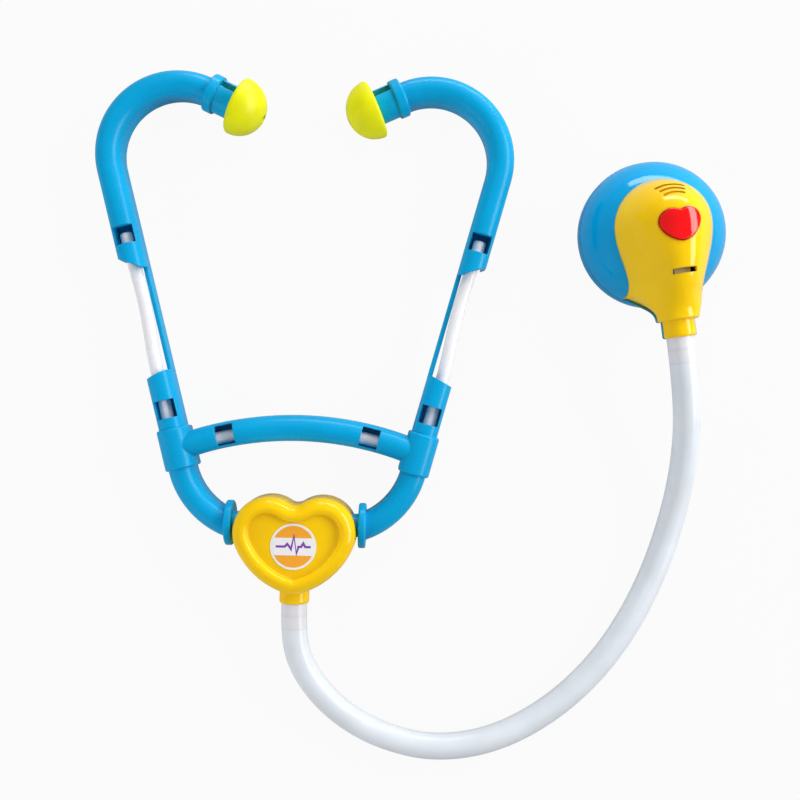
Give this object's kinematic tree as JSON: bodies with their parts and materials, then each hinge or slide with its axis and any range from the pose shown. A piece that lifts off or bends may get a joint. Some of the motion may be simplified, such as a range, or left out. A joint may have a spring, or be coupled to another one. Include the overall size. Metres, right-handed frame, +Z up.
{
  "type": "toy stethoscope",
  "caption": "Toy stethoscope with springy headset arms, domed ear tips, a heart-shaped junction, a soft hose and a round chestpiece with a press button.",
  "frame": {"origin": "middle of the heart junction's flat back, on the table", "axes": "+X across the headset towards the chestpiece, +Y from the heart to the ear tips, +Z up"},
  "size_m": [0.247, 0.2665, 0.0442],
  "materials": {
    "blue_plastic": "glossy moulded polypropylene",
    "yellow_plastic": "glossy moulded plastic",
    "white_tube": "glossy extruded plastic",
    "tip_rubber": "satin soft moulding",
    "milky_hose": "glossy milky soft PVC",
    "plug_plastic": "plain moulded plastic",
    "label_print": "printed sticker",
    "red_plastic": "glossy translucent plastic",
    "dome_rubber": "soft silicone",
    "board": "varnished laminate",
    "clear_lens": "clear moulded lens",
    "brass_strip": "bright stamped strip",
    "speaker_black": "paper and plastic",
    "steel": "plated steel"
  },
  "bodies": {
    "heart_and_chestpiece": {"heart_front_shell": "yellow_plastic", "heart_back_shell": "yellow_plastic", "heart_screws": "steel", "heart_label": "label_print", "heart_hose_plug": "plug_plastic", "hose": "milky_hose", "bell": "blue_plastic", "chest_housing": "yellow_plastic", "rubber_dome": "dome_rubber", "circuit_board": "board", "indicator_led": "clear_lens", "contact_strip": "brass_strip", "speaker": "speaker_black", "chest_screws": "steel", "base_plate": "blue_plastic", "base_plate_screws": "steel", "battery_door": "blue_plastic", "battery_door_screw": "steel", "battery_contacts": "steel", "button_cells": "steel", "chest_hose_plug": "plug_plastic"},
    "headset": {"yoke": "blue_plastic", "crossbar_core_tube": "white_tube", "right_elbow": "blue_plastic", "right_arm_sleeve": "blue_plastic", "right_flex_strip": "blue_plastic", "right_core_tube": "white_tube", "left_elbow": "blue_plastic", "left_arm_sleeve": "blue_plastic", "left_flex_strip": "blue_plastic", "left_core_tube": "white_tube"},
    "button": {"heart_button": "red_plastic"},
    "right_arm": {"right_ear_tube": "blue_plastic"},
    "right_tip": {"right_ear_tip": "tip_rubber"},
    "left_arm": {"left_ear_tube": "blue_plastic"},
    "left_tip": {"left_ear_tip": "tip_rubber"}
  },
  "joints": [
    {"name": "headset_tilt", "type": "hinge", "parent": "heart_and_chestpiece", "child": "headset", "pos_m": [0, 0.0082, 0.01125], "axis": [1, 0, 0], "range_deg": [-120, 120]},
    {"name": "heart_button_press", "type": "slide", "parent": "heart_and_chestpiece", "child": "button", "axis": [0, 0, -1], "range_m": [0, 0.0012], "stiffness_N_per_m": 350, "springref_m": -0.0006, "deforming": ["rubber_dome"]},
    {"name": "right_arm_spread", "type": "hinge", "parent": "headset", "child": "right_arm", "pos_m": [0.05574, 0.08648, 0.01125], "axis": [0, 0, -1], "range_deg": [-5, 25], "stiffness_Nm_per_rad": 0.25, "deforming": ["right_flex_strip", "right_core_tube"]},
    {"name": "right_tip_turn", "type": "hinge", "parent": "right_arm", "child": "right_tip", "pos_m": [0.03761, 0.17499, 0.01125], "axis": [-0.9063, -0.4226, 0], "continuous": true},
    {"name": "left_arm_spread", "type": "hinge", "parent": "headset", "child": "left_arm", "pos_m": [-0.05574, 0.08648, 0.01125], "axis": [0, 0, 1], "range_deg": [-5, 25], "stiffness_Nm_per_rad": 0.25, "deforming": ["left_flex_strip", "left_core_tube"]},
    {"name": "left_tip_turn", "type": "hinge", "parent": "left_arm", "child": "left_tip", "pos_m": [-0.03761, 0.17499, 0.01125], "axis": [0.9063, -0.4226, 0], "continuous": true}
  ]
}
